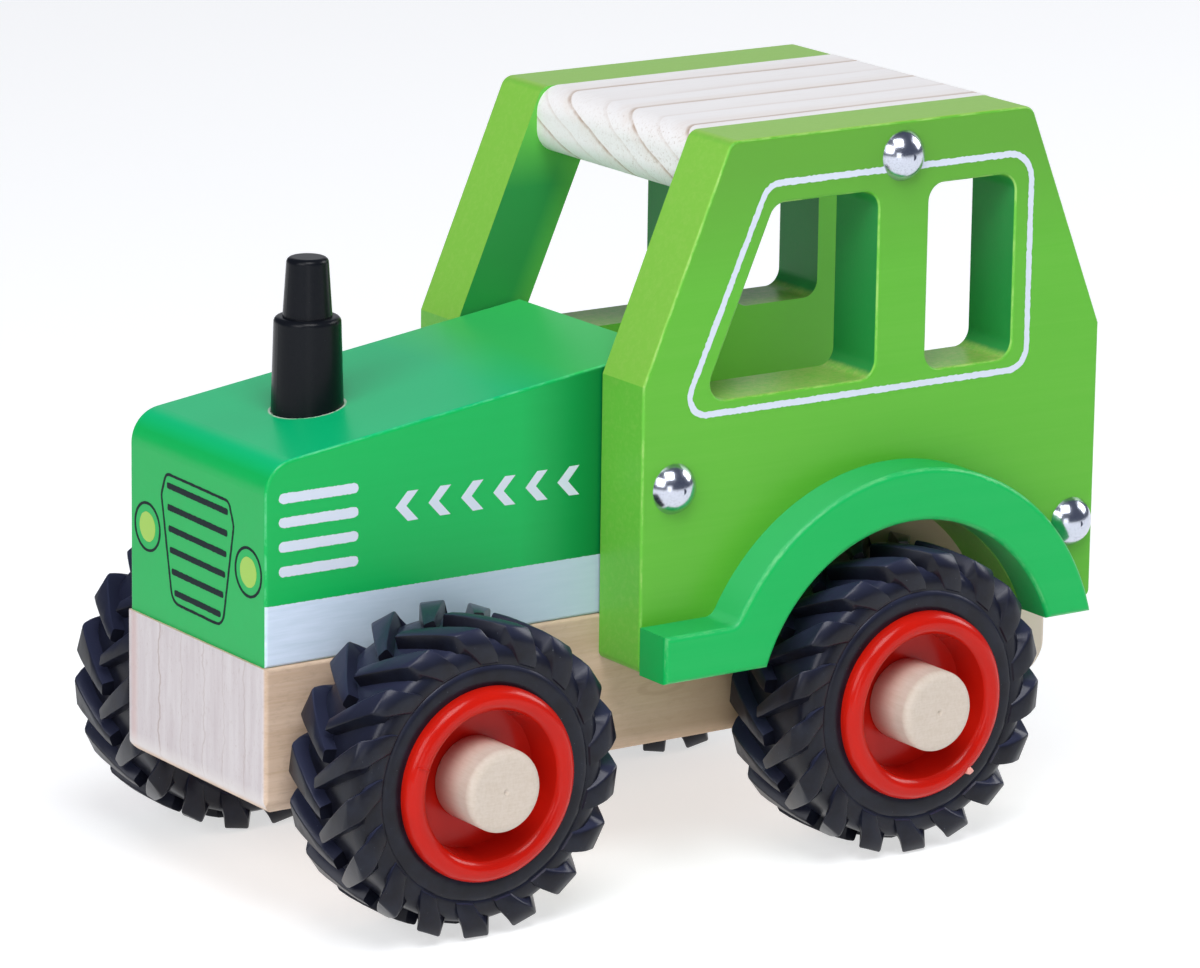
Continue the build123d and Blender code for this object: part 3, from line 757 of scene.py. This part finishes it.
grille = Print("grille_print", on_nose, slate_print, "emerald_paint")
grille.line(rounded(skewed(GRILLE), GRILLE_RADII), OUTLINE, FINE_RAGGED)
for z, half in GRILLE_BARS:
    bar = skewed(box_corners(-half, half, z, BAR_THICK))
    grille.fill(rounded(bar, [BAR_ROUND] * 4, SHORT_STEP), FINE_RAGGED)
for y, z in LAMPS:
    grille.line(circle(y, z, LAMP_RING_R), OUTLINE, LAMP_RAGGED)
grille.finish()
lamps = Print("lamp_print", on_nose, lime_print, "emerald_paint")
for y, z in LAMPS:
    lamps.fill(circle(y, z, LAMP_R), LAMP_RAGGED)
lamps.finish()

# louvres and a row of chevrons that point ahead, on the bonnet's sides
LOUVRES = [75.1, 70.9, 66.7, 62.4]      # heights
LOUVRE_FROM, LOUVRE_TO = 64.7, 80.4
LOUVRE_THICK, LOUVRE_ROUND, LOUVRE_RAGGED = 1.8, 0.85, 0.06
CHEVRON_FIRST, CHEVRON_LAST, CHEVRON_COUNT = 22.0, 55.0, 6
CHEVRON_Z, CHEVRON_HALF, CHEVRON_LEAN, CHEVRON_THICK = 70.6, 2.6, 2.4, 2.1


def chevron(x):
    back, tip, half = x - CHEVRON_LEAN / 2, x + CHEVRON_LEAN / 2, CHEVRON_THICK / 2
    low, high = CHEVRON_Z - CHEVRON_HALF, CHEVRON_Z + CHEVRON_HALF
    return [(back - half, low), (back + half, low), (tip + half, CHEVRON_Z),
            (back + half, high), (back - half, high), (tip - half, CHEVRON_Z)]


for side_name, side in SIDES.items():
    marks = Print(f"bonnet_marks_{side_name}", beside("bonnet", side), white_print, "emerald_paint")
    for z in LOUVRES:
        louvre = box_corners(LOUVRE_FROM, LOUVRE_TO, z, LOUVRE_THICK)
        marks.fill(rounded(louvre, [LOUVRE_ROUND] * 4, SHORT_STEP), LOUVRE_RAGGED)
    for k in range(CHEVRON_COUNT):
        marks.fill(chevron(CHEVRON_FIRST + (CHEVRON_LAST - CHEVRON_FIRST) * k / (CHEVRON_COUNT - 1)))
    marks.finish()

# line round the windows, on the cab sides: x, z
WINDOW_LINE = [(7.76, 82.6), (-9.86, 121.8), (-67.1, 121.8), (-67.1, 82.6)]
WINDOW_RADII = [3.5, 4.0, 5.0, 4.0]
WINDOW_LINE_WIDTH, WINDOW_RAGGED = 1.15, 0.09
for side_name, side in SIDES.items():
    line = Print(f"window_line_{side_name}", beside("cab_side_left", side), white_print, "apple_paint")
    line.line(rounded(WINDOW_LINE, WINDOW_RADII), WINDOW_LINE_WIDTH, WINDOW_RAGGED)
    line.finish()


# ---------------------------------------------------------------- floor and world
FLOOR_HALF_M = 14.0
FLOOR_DROP_M = 0.00005      # keeps the floor clear of the tyres' lowest points


def lay_floor():
    """A plain pale floor that glows a little, so that it runs out into white."""
    corners = [(x * FLOOR_HALF_M, y * FLOOR_HALF_M, 0) for x, y in ((-1, -1), (1, -1), (1, 1), (-1, 1))]
    mesh = bpy.data.meshes.new("floor")
    mesh.from_pydata(corners, [], [(0, 1, 2, 3)])
    floor = bpy.data.objects.new("floor", mesh)
    pale = Paint("floor_pale", (0.55, 0.56, 0.57), roughness=0.9, specular=0.1)
    pale.set("Emission Color", (1, 1, 1, 1))
    pale.set("Emission Strength", 0.62)
    mesh.materials.append(pale.material)
    bpy.context.scene.collection.objects.link(floor)
    floor.location.z = -FLOOR_DROP_M


def light_world(color, strength):
    world = bpy.data.worlds.new("studio")
    world.use_nodes = True
    background = world.node_tree.nodes["Background"]
    background.inputs["Color"].default_value = (*color, 1)
    background.inputs["Strength"].default_value = strength
    bpy.context.scene.world = world


lay_floor()
light_world((0.62, 0.70, 1.0), 0.14)

# ---------------------------------------------------------------- lights, in metres
AIM = Vector((0, 0, 0.06))


def softbox(name, azimuth, elevation, distance, size, power):
    """A square soft light that looks at the toy; azimuth from +X towards +Y, in degrees."""
    a, e = math.radians(azimuth), math.radians(elevation)
    spot = Vector((math.cos(a) * math.cos(e), math.sin(a) * math.cos(e), math.sin(e))) * distance + AIM
    data = bpy.data.lights.new(name, "AREA")
    data.shape = "SQUARE"
    data.size = size
    data.energy = power
    lamp = bpy.data.objects.new(name, data)
    lamp.location = spot
    lamp.rotation_euler = (AIM - spot).to_track_quat("-Z", "Y").to_euler()
    bpy.context.scene.collection.objects.link(lamp)


softbox("softbox_above", 65, 58, 1.4, 0.75, 13)
softbox("softbox_behind", 168, 27, 1.6, 0.7, 9)
softbox("softbox_ahead", 24, 28, 1.5, 0.8, 8.5)
softbox("wall_behind", 238, 20, 2.2, 1.5, 3)
softbox("softbox_low", 62, 7, 1.6, 0.5, 1.6)

# ---------------------------------------------------------------- camera, in metres
# fitted to the straight edges and wheels of the photograph
CAMERA_AT = (0.61237, 0.89524, 0.33813)
CAMERA_AHEAD = (-0.54716, -0.79992, -0.24646)
CAMERA_RIGHT = (-0.82729, 0.5616, 0.01389)

camera_data = bpy.data.cameras.new("camera")
camera_data.sensor_fit = "HORIZONTAL"
camera_data.sensor_width = 36.0
camera_data.lens = 189.2
camera_data.clip_end = 50
camera = bpy.data.objects.new("camera", camera_data)
bpy.context.scene.collection.objects.link(camera)
ahead = Vector(CAMERA_AHEAD).normalized()
right = Vector(CAMERA_RIGHT).normalized()
up = right.cross(ahead).normalized()
turned = Matrix((right, up, -ahead)).transposed().to_4x4()
camera.matrix_world = Matrix.Translation(CAMERA_AT) @ turned
bpy.context.scene.camera = camera

bpy.context.scene.view_settings.view_transform = "Standard"
